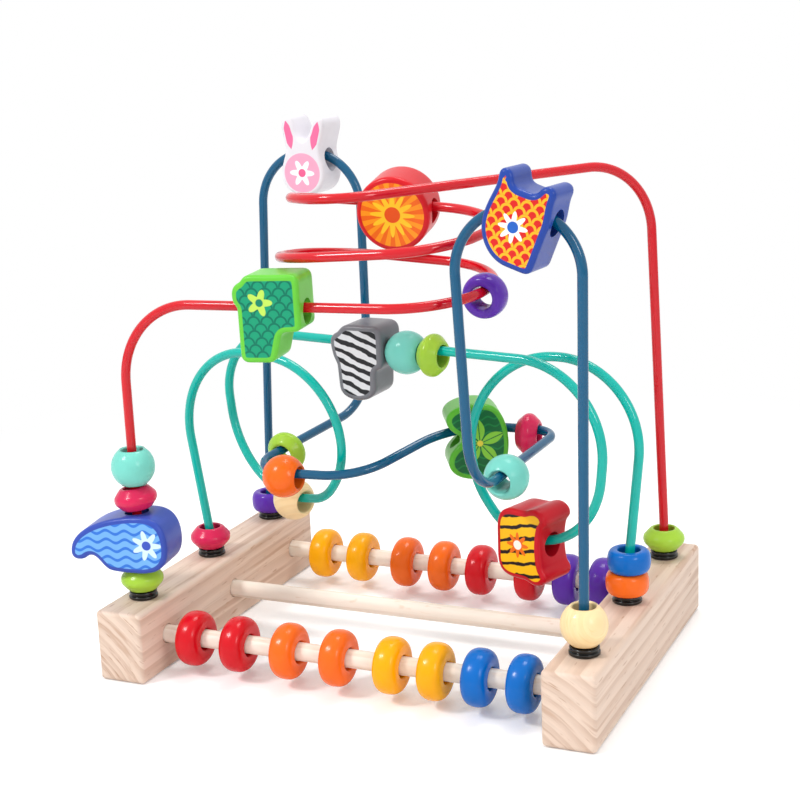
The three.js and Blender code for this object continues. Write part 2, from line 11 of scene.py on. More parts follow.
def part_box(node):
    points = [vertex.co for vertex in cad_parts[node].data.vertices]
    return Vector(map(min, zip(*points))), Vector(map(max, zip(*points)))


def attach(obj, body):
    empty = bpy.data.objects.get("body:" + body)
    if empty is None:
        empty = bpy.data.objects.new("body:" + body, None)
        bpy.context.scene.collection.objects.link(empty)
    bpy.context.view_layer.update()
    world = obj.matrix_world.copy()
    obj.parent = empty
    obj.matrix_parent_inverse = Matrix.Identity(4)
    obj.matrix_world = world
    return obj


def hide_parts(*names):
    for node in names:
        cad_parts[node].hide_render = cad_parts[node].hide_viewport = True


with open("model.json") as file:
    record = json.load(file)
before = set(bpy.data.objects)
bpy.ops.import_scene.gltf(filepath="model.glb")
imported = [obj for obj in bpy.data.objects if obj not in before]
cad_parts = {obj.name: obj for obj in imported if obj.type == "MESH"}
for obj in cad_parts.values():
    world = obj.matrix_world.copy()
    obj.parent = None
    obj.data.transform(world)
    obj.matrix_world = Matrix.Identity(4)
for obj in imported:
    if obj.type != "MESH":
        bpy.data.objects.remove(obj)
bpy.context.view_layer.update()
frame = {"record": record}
bodyOf = {node: body for body, nodes in frame["record"]["behaviour"]["bodies"].items() for node in nodes}
mm = 0.001  # everything below is worked out in millimetres


def boxOf(node):
    low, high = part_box(node)
    return np.array(low) / mm, np.array(high) / mm


def centreOf(node):
    return np.mean(boxOf(node), axis=0)


toyMiddle = np.array([centreOf("middle_dowel")[0], 0.0, 0.0])  # the base's middle, not the whole toy's


# materials

def linear(red, green, blue):
    share = np.array([red, green, blue]) / 255
    curve = np.where(share <= 0.04045, share / 12.92, ((share + 0.055) / 1.055) ** 2.4)
    return (*curve, 1.0)


def feed(tree, socket, value):
    if isinstance(value, bpy.types.NodeSocket):
        tree.links.new(value, socket)
    else:
        socket.default_value = value


def addNode(tree, kind, inputs=None, **settings):
    made = tree.nodes.new("ShaderNode" + kind)
    for name, value in settings.items():
        setattr(made, name, value)
    for name, value in (inputs or {}).items():
        feed(tree, made.inputs[name], value)
    return made


def maths(tree, operation, first, second=0.0, third=0.0):
    return addNode(tree, "Math", {0: first, 1: second, 2: third}, operation=operation).outputs[0]


def vectorMaths(tree, operation, first, second=(0, 0, 0)):
    made = addNode(tree, "VectorMath", {0: first, 1: second}, operation=operation)
    return made.outputs["Value" if operation in ("LENGTH", "DOT_PRODUCT") else "Vector"]


def smoothStep(tree, value, low, high, out=(0.0, 1.0)):
    ranged = {"Value": value, "From Min": low, "From Max": high, "To Min": out[0], "To Max": out[1]}
    return addNode(tree, "MapRange", ranged, interpolation_type="SMOOTHSTEP").outputs[0]


def mixColour(tree, share, under, over, blend="MIX"):
    made = addNode(tree, "Mix", data_type="RGBA", blend_type=blend)
    for index, value in ((0, share), (6, under), (7, over)):
        feed(tree, made.inputs[index], value)
    return made.outputs[2]


def noise(tree, vector, scale, detail=2.0, stretch=(1, 1, 1)):
    placed = addNode(tree, "Mapping", {"Vector": vector, "Scale": stretch}).outputs[0]
    return addNode(tree, "TexNoise", {"Vector": placed, "Scale": scale, "Detail": detail}).outputs["Fac"]


def newGroup(name, inputs, outputs):
    tree = bpy.data.node_groups.new(name, "ShaderNodeTree")
    for label, kind, value in inputs:
        socket = tree.interface.new_socket(name=label, in_out="INPUT", socket_type="NodeSocket" + kind)
        if value is not None:
            socket.default_value = value
    for label, kind in outputs:
        tree.interface.new_socket(name=label, in_out="OUTPUT", socket_type="NodeSocket" + kind)
    given = tree.nodes.new("NodeGroupInput").outputs
    out = tree.nodes.new("NodeGroupOutput").inputs
    return tree, given, out


def useGroup(tree, group, **inputs):
    made = tree.nodes.new("ShaderNodeGroup")
    made.node_tree = group
    for label, value in inputs.items():
        feed(tree, made.inputs[label], value)
    return made.outputs


def newMaterial(name):
    material = bpy.data.materials.new(name)
    material.use_nodes = True
    tree = material.node_tree
    tree.nodes.clear()
    shader = addNode(tree, "BsdfPrincipled")
    addNode(tree, "OutputMaterial", {"Surface": shader.outputs[0]})
    place = addNode(tree, "TexCoord").outputs["Object"]
    return material, tree, shader, place


def setGloss(shader, specular, coat, coatRoughness):
    shader.inputs["Specular IOR Level"].default_value = specular
    shader.inputs["Coat Weight"].default_value = coat
    shader.inputs["Coat Roughness"].default_value = coatRoughness


def setSurface(tree, shader, colour, look, strength, distance):
    bump = addNode(tree, "Bump", {"Height": look["Height"], "Strength": strength, "Distance": distance})
    feed(tree, shader.inputs["Base Color"], colour)
    feed(tree, shader.inputs["Roughness"], look["Roughness"])
    feed(tree, shader.inputs["Normal"], bump.outputs[0])


# paint on turned wood: slow colour drift, fine roughness and a faint unevenness from the grain below
def makePaintFilm():
    tree, given, out = newGroup(
        "paintFilm",
        [("Vector", "Vector", None), ("Colour", "Color", None),
         ("Drift", "Float", 0.05), ("Gloss", "Float", 0.22)],
        [("Colour", "Color"), ("Roughness", "Float"), ("Height", "Float")],
    )
    slow = noise(tree, given["Vector"], 60, 3)
    fine = noise(tree, given["Vector"], 900, 2)
    grain = noise(tree, given["Vector"], 220, 2, (1, 1, 0.25))
    swing = maths(tree, "MULTIPLY", maths(tree, "SUBTRACT", slow, 0.5), given["Drift"])
    value = maths(tree, "MULTIPLY_ADD", swing, 4.0, 1.0)
    tinted = addNode(tree, "HueSaturation", {"Value": value, "Color": given["Colour"]}).outputs[0]
    tree.links.new(tinted, out["Colour"])
    rough = maths(tree, "MULTIPLY_ADD", maths(tree, "SUBTRACT", fine, 0.5), 0.1, given["Gloss"])
    tree.links.new(rough, out["Roughness"])
    tree.links.new(grain, out["Height"])
    return tree


# planed softwood: growth rings about a pith along Y, with fibres and short pores along it
def makeWoodGrain():
    tree, given, out = newGroup(
        "woodGrain",
        [("Vector", "Vector", None), ("Pale", "Color", None), ("Dark", "Color", None),
         ("Ring", "Float", 0.009)],
        [("Colour", "Color"), ("Roughness", "Float"), ("Height", "Float")],
    )
    across = addNode(tree, "Mapping", {"Vector": given["Vector"], "Scale": (1, 0, 1)}).outputs[0]
    warp = maths(tree, "SUBTRACT", noise(tree, given["Vector"], 16, 3, (1, 0.16, 1)), 0.5)
    reach = maths(tree, "MULTIPLY_ADD", warp, 0.006, vectorMaths(tree, "LENGTH", across))
    ring = maths(tree, "FRACT", maths(tree, "DIVIDE", reach, given["Ring"]))
    late = maths(tree, "MULTIPLY", smoothStep(tree, ring, 0.25, 0.93), smoothStep(tree, ring, 1.0, 0.94))
    flat = addNode(tree, "SeparateXYZ", {0: given["Vector"]}).outputs
    lift = maths(tree, "MULTIPLY", flat[2], 0.15)
    # fibres, streaks and pores follow the rings across the grain
    sawn = addNode(tree, "CombineXYZ", {0: reach, 1: flat[1], 2: lift}).outputs[0]
    fibre = noise(tree, sawn, 900, 4, (1, 0.03, 1))
    streak = smoothStep(tree, noise(tree, sawn, 330, 3, (1, 0.02, 1)), 0.5, 0.7)
    pore = smoothStep(tree, noise(tree, sawn, 1000, 2, (1, 0.08, 1)), 0.64, 0.74)
    patch = noise(tree, given["Vector"], 22, 2, (1, 0.3, 1))
    shade = maths(tree, "MULTIPLY", late, smoothStep(tree, patch, 0.3, 0.75, (0.25, 0.7)))
    shade = maths(tree, "MAXIMUM", shade, maths(tree, "MULTIPLY", streak, 0.6))
    toned = mixColour(tree, shade, given["Pale"], given["Dark"])
    light = maths(tree, "MULTIPLY_ADD", maths(tree, "SUBTRACT", fibre, 0.5), 0.24, 1.0)
    fibred = addNode(tree, "HueSaturation", {"Value": light, "Color": toned}).outputs[0]
    streaked = mixColour(tree, maths(tree, "MULTIPLY", pore, 0.7), fibred, given["Dark"])
    tree.links.new(streaked, out["Colour"])
    tree.links.new(maths(tree, "MULTIPLY_ADD", fibre, 0.22, 0.42), out["Roughness"])
    tree.links.new(maths(tree, "MULTIPLY_ADD", late, 0.5, fibre), out["Height"])
    return tree


paintFilm = makePaintFilm()
woodGrain = makeWoodGrain()


def paintMaterial(name, colour):
    material, tree, shader, place = newMaterial(name)
    film = useGroup(tree, paintFilm, Vector=place, Colour=colour, Drift=0.05, Gloss=0.24)
    setGloss(shader, 0.2, 0.1, 0.08)
    setSurface(tree, shader, film["Colour"], film, 0.1, 0.0003)
    return material


def woodMaterial(name, pale, dark, pith, turn, ring):
    material, tree, shader, place = newMaterial(name)
    laid = addNode(tree, "Mapping", {"Vector": place, "Location": pith, "Rotation": turn}).outputs[0]
    wood = useGroup(tree, woodGrain, Vector=laid, Pale=pale, Dark=dark, Ring=ring)
    setSurface(tree, shader, wood["Colour"], wood, 0.1, 0.0003)
    return material


def coatMaterial(name, colour):
    material, tree, shader, place = newMaterial(name)
    film = useGroup(tree, paintFilm, Vector=place, Colour=colour, Drift=0.03, Gloss=0.13)
    setGloss(shader, 0.3, 0.25, 0.05)
    setSurface(tree, shader, film["Colour"], film, 0.02, 0.0001)
    return material


paintColours = {
    "red": linear(206, 14, 28),
    "orange": linear(243, 106, 24),
    "yellow": linear(250, 170, 0),
    "blue": linear(0, 102, 188),
    "purple": linear(90, 44, 166),
    "mint": linear(120, 208, 194),
    "magenta": linear(212, 36, 84),
    "lime": linear(162, 204, 62),
}
paints = {name: paintMaterial(name + "Paint", colour) for name, colour in paintColours.items()}
cream = {"pale": linear(248, 220, 168), "dark": linear(241, 205, 146),
         "turn": (0.5, 0.3, 0.7), "ring": 0.0041}


# clear lacquer over pale turned wood
def lacquerMaterial(name, look):
    material = woodMaterial(name, look["pale"], look["dark"], (0, 0, 0), look["turn"], look["ring"])
    shader = material.node_tree.nodes["Principled BSDF"]
    setGloss(shader, 0.2, 0.3, 0.1)
    return material


paints["cream"] = lacquerMaterial("creamLacquer", cream)
print("paints and woods ready:", len(paints), "paints")


# meshes

def gridFaces(rows, columns, wrapRows, wrapColumns):
    row = np.arange(rows if wrapRows else rows - 1)[:, None]
    column = np.arange(columns if wrapColumns else columns - 1)[None, :]
    nextRow = (row + 1) % rows
    nextColumn = (column + 1) % columns
    corners = (row * columns + column, row * columns + nextColumn,
               nextRow * columns + nextColumn, nextRow * columns + column)
    return np.stack(np.broadcast_arrays(*corners), axis=-1).reshape(-1, 4)


def makeMesh(name, points, faces, sharpest):
    mesh = bpy.data.meshes.new(name)
    mesh.from_pydata((points.reshape(-1, 3) * mm).tolist(), [], faces)
    tidyMesh(mesh, sharpest)
    return mesh


def gridMesh(name, grid, wrapRows, wrapColumns, sharpest=40):
    return makeMesh(name, grid, gridFaces(*grid.shape[:2], wrapRows, wrapColumns).tolist(), sharpest)


def tidyMesh(mesh, sharpest):
    shaped = bmesh.new()
    shaped.from_mesh(mesh)
    bmesh.ops.remove_doubles(shaped, verts=shaped.verts, dist=1e-6)
    bmesh.ops.dissolve_degenerate(shaped, edges=shaped.edges, dist=1e-7)
    bmesh.ops.recalc_face_normals(shaped, faces=shaped.faces)
    shaped.to_mesh(mesh)
    shaped.free()
    mesh.shade_smooth()
    mesh.set_sharp_from_angle(angle=math.radians(sharpest))


def newObject(name, data):
    made = bpy.data.objects.new(name, data)
    bpy.context.scene.collection.objects.link(made)
    return made


def addPiece(node, mesh, material):
    piece = newObject(node + "_look", mesh)
    if material:
        mesh.materials.clear()
        mesh.materials.append(material)
    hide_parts(node)
    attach(piece, bodyOf[node])
    return piece


# a profile of (radius, height) turned about Z: (r cos a, r sin a, h)
def turned(profile, sectors):
    angle = np.linspace(0, 2 * np.pi, sectors, endpoint=False)
    radius, height = np.asarray(profile, float).T[:, :, None]
    return np.stack(np.broadcast_arrays(radius * np.cos(angle), radius * np.sin(angle), height), axis=-1)


# moves local points to a place, with the local axes along the given columns
def placed(points, origin, axes):
    return np.asarray(points) @ np.asarray(axes).T + origin


# a closed polygon with each corner eased by a quadratic curve that starts and ends `ease` from it
def easedPolygon(corners, ease, steps=6):
    corners = np.asarray(corners, float)
    before = np.roll(corners, 1, axis=0) - corners
    after = np.roll(corners, -1, axis=0) - corners
    ease = np.broadcast_to(np.asarray(ease, float), len(corners))[:, None]
    start = corners + before * np.minimum(0.49, ease / np.linalg.norm(before, axis=1, keepdims=True))
    end = corners + after * np.minimum(0.49, ease / np.linalg.norm(after, axis=1, keepdims=True))
    t = np.linspace(0, 1, steps)[None, :, None]
    curve = (1 - t) ** 2 * start[:, None] + 2 * t * (1 - t) * corners[:, None] + t ** 2 * end[:, None]
    return curve.reshape(-1, 2)


def frameAlong(axis, lean=(0, 0, 1)):
    axis = np.asarray(axis, float) / np.linalg.norm(axis)
    side = np.cross(lean, axis)
    if np.linalg.norm(side) < 1e-3:
        side = np.cross((1, 0, 0), axis)
    side = side / np.linalg.norm(side)
    return np.column_stack([side, np.cross(axis, side), axis])


# base: bars, dowels and collars

bar = {"round": 2.4, "pale": linear(226, 202, 184), "dark": linear(180, 138, 110), "ring": 0.0062,
       "play": 0.5, "sharp": 50}


# a rounded rectangle carried along Y; its ends round over by the same radius and close on the middle
def makeBar(node, pith):
    low, high = boxOf(node)
    size = high - low
    turn = np.linspace(0, np.pi / 2, 7)
    inset = bar["round"] * (1 - np.sin(turn))
    inset = np.concatenate([inset, inset[::-1]])
    along = bar["round"] * (1 - np.cos(turn))
    along = np.concatenate([along, size[1] - along[::-1]])
    rings = [roundedRectangle(size[0] - 2 * step, size[2] - 2 * step, bar["round"] - 0.9 * step)
             for step in inset]
    rings = np.array([rings[0] * 0, rings[0] * 0.5, *rings, rings[-1] * 0.5, rings[-1] * 0])
    along = np.array([along[0], along[0], *along, along[-1], along[-1]])
    along = np.broadcast_to(along[:, None], rings.shape[:2])
    grid = np.stack([rings[..., 0], along, rings[..., 1]], axis=-1)
    grid = grid + [(low[0] + high[0]) / 2, low[1], (low[2] + high[2]) / 2]
    mesh = gridMesh(node, grid, False, True, bar["sharp"])
    mesh = cutOut(mesh, [socketTool(row + "_dowel") for row in rows])
    mesh.name = node
    mesh.set_sharp_from_angle(angle=math.radians(bar["sharp"]))
    wood = woodMaterial(node + "Pine", bar["pale"], bar["dark"], pith, (0, 0, 0), bar["ring"])
    return addPiece(node, mesh, wood)


def roundedRectangle(width, height, radius, steps=8):
    turn = np.linspace(0, np.pi / 2, steps)
    quarter = np.stack([np.cos(turn), np.sin(turn)], axis=-1) * radius
    quarters = []
    for k, (right, up) in enumerate([(1, 1), (-1, 1), (-1, -1), (1, -1)]):
        c, s = np.cos(k * np.pi / 2), np.sin(k * np.pi / 2)
        centre = np.array([right * (width / 2 - radius), up * (height / 2 - radius)])
        quarters.append(quarter @ np.array([[c, s], [-s, c]]) + centre)
    return np.concatenate(quarters)


# the hole for a dowel's ends: the dowel itself, wider and longer by the play
def socketTool(node):
    low, high = boxOf(node)
    radius = (high[2] - low[2]) / 2 + bar["play"]
    half = (high[0] - low[0]) / 2 + bar["play"]
    profile = [(0, -half), (radius, -half), (radius, half), (0, half)]
    return toolObject(placed(turned(profile, 48), (low + high) / 2, frameAlong((1, 0, 0))))


def toolObject(grid):
    return newObject("tool", gridMesh("tool", grid, False, True))


# cuts the tools out of a mesh and clears them away
def cutOut(mesh, tools):
    piece = newObject("blank", mesh)
    for tool in tools:
        cut = piece.modifiers.new("cut", "BOOLEAN")
        cut.operation = "DIFFERENCE"
        cut.solver = "EXACT"
        cut.object = tool
    bpy.context.view_layer.update()
    graph = bpy.context.evaluated_depsgraph_get()
    result = bpy.data.meshes.new_from_object(piece.evaluated_get(graph))
    for used in (piece, *tools):
        bpy.data.objects.remove(used)
    return result


rows = ("front", "middle", "rear")
makeBar("left_bar", (0.17, 0.02, 0.035))
makeBar("right_bar", (-0.09, -0.05, 0.05))

dowel = {"sectors": 40, "ease": 0.8, "turn": (0, 0, math.pi / 2), "ring": 0.0036,
         "pale": linear(242, 230, 216), "dark": linear(224, 202, 180)}


# a rod along X: a profile turned about it, with eased ends that close on the axis
def makeDowel(node, pith):
    low, high = boxOf(node)
    radius = (high[2] - low[2]) / 2
    half = (high[0] - low[0]) / 2
    ease = dowel["ease"]
    profile = [(0, -half), (radius - ease, -half), (radius, -half + ease), (radius, 0),
               (radius, half - ease), (radius - ease, half), (0, half)]
    grid = placed(turned(profile, dowel["sectors"]), (low + high) / 2, frameAlong((1, 0, 0)))
    mesh = gridMesh(node, grid, False, True)
    wood = woodMaterial(node + "Wood", dowel["pale"], dowel["dark"], pith, dowel["turn"], dowel["ring"])
    return addPiece(node, mesh, wood)


for row, y in (("front", 0.075), ("middle", 0.0), ("rear", -0.075)):
    makeDowel(row + "_dowel", (0.012, 0.0, -0.012 + y * 0.1))

collar = {"bore": 2.9, "sleeve": 4.2, "flange": 8.0, "sectors": 56, "lift": 0.3}


def makeCollarPlastic():
    material, tree, shader, place = newMaterial("collarPlastic")
    film = useGroup(tree, paintFilm, Vector=place, Colour=linear(11, 11, 12), Drift=0.08, Gloss=0.16)
    setSurface(tree, shader, film["Colour"], film, 0.1, 0.0002)
    return material


# a bush: flange, groove and upper ring above the bar, and a sleeve down the wire's hole, turned about Z
def makeCollar(node, material):
    low, high = boxOf(node)
    bore, sleeve, flange, lift = (collar[key] for key in ("bore", "sleeve", "flange", "lift"))
    deck = boxOf("left_bar")[1][2]
    bottom = low[2] - deck
    top = high[2] - deck
    corners = [(bore, bottom), (sleeve, bottom), (sleeve, lift), (flange, lift), (flange, 0.42 * top),
               (flange - 0.9, 0.5 * top), (flange - 0.9, 0.56 * top), (flange - 0.35, 0.64 * top),
               (flange - 0.35, 0.9 * top), (flange - 1.0, top), (bore + 0.6, top)]
    profile = easedPolygon(corners, 0.35, 4)
    grid = turned(profile, collar["sectors"]) + [*centreOf(node)[:2], deck]
    return addPiece(node, gridMesh(node, grid, True, True), material)


collarPlastic = makeCollarPlastic()
for side in ("left", "right"):
    for row in rows:
        makeCollar(f"{side}_{row}_collar", collarPlastic)
print("base ready")


# wires

wire = {"radius": 2.6, "sides": 20, "fineStep": 3.0, "seatStep": 16.0, "seatDepth": 24.0}
postX, rowY = 128.0, 75.0
foot = -wire["seatDepth"]
coil = {"left": -46.0, "right": 66.0, "back": 9.0, "start": 166.0, "pitch": 29.0, "radius": 41.0,
        "halfTurns": 3}


# corners are (x, y, height above the bars, bend radius), as the solids have them
def redCorners():
    corners = [(-postX, -rowY, foot, 0), (-postX, -rowY, coil["start"], 44)]
    for k in range(2 * coil["halfTurns"]):
        x = coil["right"] if k % 4 < 2 else coil["left"]
        y = -rowY if k % 4 in (0, 3) else coil["back"]
        corners.append((x, y, coil["start"] + coil["pitch"] * (k + 0.5) / 4, coil["radius"]))
    top = coil["start"] + coil["pitch"] * coil["halfTurns"] / 2
    corners.append((coil["left"] + 14, coil["back"], top + 2.5, 31))
    corners.append((coil["left"] - 5, coil["back"] - 46, top + 9.5, 31))
    corners.append((coil["left"] + 41, -rowY + 7, top + 11.5, 31))
    corners.append((postX - 8, rowY, top + 17.5, 38))
    return corners + [(postX, rowY, 20, 80), (postX, rowY, foot, 0)]


tealCorners = [
    (-postX, 0, foot, 0), (-postX, 0, 12, 50), (-postX - 17, 0, 130, 49), (15, -30, 122, 46),
    (-46, -8, 44, 24), (-112, 16, 33, 52), (-124, 20, 134, 36), (126, -20, 132, 48), (115, -16, 27, 45),
    (59, 2, 33, 34), (-16, 24, 126, 51), (postX + 12, 0, 132, 46), (postX, 0, 12, 50), (postX, 0, foot, 0),
]
blueCorners = [
    (-postX, rowY, foot, 0), (-postX, rowY, 20, 80), (-postX + 9, rowY, 231, 32),
    (-postX + 73, rowY, 231, 32), (-postX + 73, rowY, 80, 31), (-83, -33, 65, 16), (-17, -25, 64, 42),
    (17.5, 36, 81, 50), (77.5, 41, 80, 13), (postX - 57.5, -rowY, 75, 28), (postX - 64, -rowY, 220, 31.5),
    (postX + 2, -rowY, 220, 31.5), (postX, -rowY, 20, 80), (postX, -rowY, foot, 0),
]


# straight legs joined by arcs: point = start + forward r sin a + inward r (1 - cos a)
def bendWire(corners, step):
    corners = np.array(corners, float)
    points = corners[:, :3] + [0, 0, boxOf("left_bar")[1][2]] + toyMiddle
    legs = np.diff(points, axis=0)
    lengths = np.linalg.norm(legs, axis=1)
    units = legs / lengths[:, None]
    turns = np.arccos(np.clip(np.sum(units[:-1] * units[1:], axis=1), -1, 1))
    back = corners[1:-1, 3] * np.tan(turns / 2)
    share = np.minimum(1, lengths / (np.append(back, 0) + np.insert(back, 0, 0)))
    route, tangents = [points[:1]], [units[:1]]
    for i, turn in enumerate(turns):
        radius = corners[i + 1, 3] * min(share[i], share[i + 1])
        forward = units[i]
        inward = units[i + 1] - forward * (forward @ units[i + 1])
        inward = inward / np.linalg.norm(inward)
        start = points[i + 1] - forward * radius * math.tan(turn / 2)
        angle = np.linspace(0, turn, math.ceil(turn / math.radians(step)) + 1)[:, None]
        route.append(start + forward * radius * np.sin(angle) + inward * radius * (1 - np.cos(angle)))
        tangents.append(forward * np.cos(angle) + inward * np.sin(angle))
    route.append(points[-1:])
    tangents.append(units[-1:])
    return np.concatenate(route), np.concatenate(tangents)


# frames carried along the route without twist, so that the tube's lines stay straight
def carriedSides(tangents):
    side = np.cross(tangents[0], (0.3, 1.0, 0.2))
    sides = []
    for tangent in tangents:
        side = side - tangent * (side @ tangent)
        side = side / np.linalg.norm(side)
        sides.append(side)
    return np.array(sides)


# a circle carried along the route: centre + r (cos a side + sin a normal), closed at both ends
def makeWire(node, corners, material):
    route, tangents = bendWire(corners, wire["fineStep"])
    side = carriedSides(tangents)
    normal = np.cross(tangents, side)
    angle = np.linspace(0, 2 * np.pi, wire["sides"], endpoint=False)[None, :, None]
    circle = np.cos(angle) * side[:, None] + np.sin(angle) * normal[:, None]
    tube = route[:, None] + wire["radius"] * circle
    ends = [np.repeat(route[k][None, None], wire["sides"], axis=1) for k in (0, -1)]
    grid = np.concatenate([ends[0], tube, ends[1]])
    return addPiece(node, gridMesh(node, grid, False, True), material)


routes = {"red": redCorners(), "teal": tealCorners, "blue": blueCorners}
wireColours = {"red": linear(204, 14, 30), "teal": linear(0, 178, 164), "blue": linear(0, 84, 122)}
for name, corners in routes.items():
    makeWire(name + "_wire", corners, coatMaterial(name + "Coat", wireColours[name]))
print("wires ready")


# beads

beads = {"sectors": 72, "sharp": 60, "bore": 6.0, "mouth": 1.1, "ringRim": 0.62, "ringSquare": 0.82,
         "discFace": 7.75, "discRim": 3.2, "discEase": [1.0, 1.5, 1.55, 1.55, 1.5, 1.0]}


# bore wall with rounded mouths, from the upper face down to the lower one
def borePoints(bore, half, mouth, steps=6):
    turn = np.linspace(0, np.pi / 2, steps)
    upper = np.stack([bore + mouth * (1 - np.sin(turn)), half - mouth * (1 - np.cos(turn))], axis=-1)
    lower = upper[::-1] * [1, -1]
    return np.concatenate([upper, lower])


# rim: r = R - w + w cos^n a, h = H sin^n a, with n below 1 for a fuller shoulder
def ringProfile(radius, half, bore):
    rim = beads["ringRim"] * (radius - bore)
    angle = np.linspace(-np.pi / 2, np.pi / 2, 33)
    square = beads["ringSquare"]
    reach = radius - rim + rim * np.cos(angle).clip(0) ** square
    height = half * np.sign(np.sin(angle)) * np.abs(np.sin(angle)) ** square
    return np.concatenate([np.stack([reach, height], axis=-1), borePoints(bore, half, beads["mouth"])])


def ballProfile(radius, half, bore):
    reach = math.acos((bore + beads["mouth"] * 0.8) / radius)
    angle = np.linspace(-reach, reach, 41)
    outside = np.stack([radius * np.cos(angle), radius * np.sin(angle)], axis=-1)
    return np.concatenate([outside, borePoints(bore, outside[-1, 1], beads["mouth"])])


def discProfile(radius, half, bore):
    face, rim = beads["discFace"], beads["discRim"] / 2
    corners = [(bore, -half), (face, -half), (radius, -rim), (radius, rim), (face, half), (bore, half)]
    return easedPolygon(corners, beads["discEase"], 9)


profiles = {"ring": ringProfile, "ball": ballProfile, "disc": discProfile}
shapeSizes = {"ring": (11.6, 6.1), "ball": (12.0, 10.4), "disc": (11.8, 6.25), "abacus": (15.2, 6.7)}


def makeBead(node, profile, axis, material):
    grid = placed(turned(profile, beads["sectors"]), centreOf(node), frameAlong(axis))
    return addPiece(node, gridMesh(node, grid, True, True, beads["sharp"]), material)


abacusColours = {
    "front": ["red", "red", "orange", "orange", "yellow", "yellow", "blue", "blue"],
    "rear": ["yellow", "yellow", "orange", "orange", "red", "red", "purple", "purple"],
}
abacusProfile = ringProfile(*shapeSizes["abacus"], beads["bore"])
for row, colours in abacusColours.items():
    for i, colour in enumerate(colours):
        makeBead(f"{row}_bead_{i + 1}", abacusProfile, (1, 0, 0), paints[colour])

seatRoutes = {name: bendWire(corners, wire["seatStep"]) for name, corners in routes.items()}
wireBeads = {
    "red": ["post_lime_disc", "post_magenta_disc", "post_mint_ball", "coil_purple_ring",
            "rear_foot_lime_disc"],
    "teal": ["left_foot_magenta_disc", "left_loop_cream_ball", "strand_mint_ball", "strand_lime_disc",
             "right_foot_orange_ring", "right_foot_blue_ring"],
    "blue": ["rear_foot_purple_ring", "run_lime_disc", "run_orange_ball", "run_magenta_disc",
             "run_mint_ball", "front_foot_cream_ball"],
}
beadTurns = {"run_lime_disc": 0.2, "run_orange_ball": -0.1}  # about up, for beads askew on the wire
discLean = 0.14  # of the magenta disc on the elephant's back


# a bead on a post stands upright; any other lies along its wire at the nearest point of the route
def beadAxis(node, wireName):
    if node == "post_magenta_disc":
        return (-math.sin(discLean), 0, math.cos(discLean))
    if "foot" in node or node.startswith("post"):
        return (0, 0, 1)
    route, tangents = seatRoutes[wireName]
    start, leg = route[:-1], np.diff(route, axis=0)
    span = np.sum(leg * leg, axis=1)
    share = np.clip(np.sum((centreOf(node) - start) * leg, axis=1) / np.maximum(span, 1e-9), 0, 1)
    nearest = np.argmin(np.linalg.norm(start + leg * share[:, None] - centreOf(node), axis=1))
    axis = tangents[nearest] * (1 - share[nearest]) + tangents[nearest + 1] * share[nearest]
    return turnAbout(axis, upFrom(axis), beadTurns.get(node, 0.0))


def upFrom(axis):
    axis = axis / np.linalg.norm(axis)
    up = np.array([0, 0, 1.0]) - axis * axis[2]
    return up / np.linalg.norm(up)


def turnAbout(vector, axis, angle):
    return np.array(Matrix.Rotation(angle, 3, Vector(axis))) @ vector


for wireName, nodes in wireBeads.items():
    for node in nodes:
        colour, shape = node.split("_")[-2:]
        radius, half = shapeSizes[shape]
        profile = profiles[shape](radius, half, beads["bore"])
        makeBead(node, profile, beadAxis(node, wireName), paints[colour])
print("beads ready")


# blocks

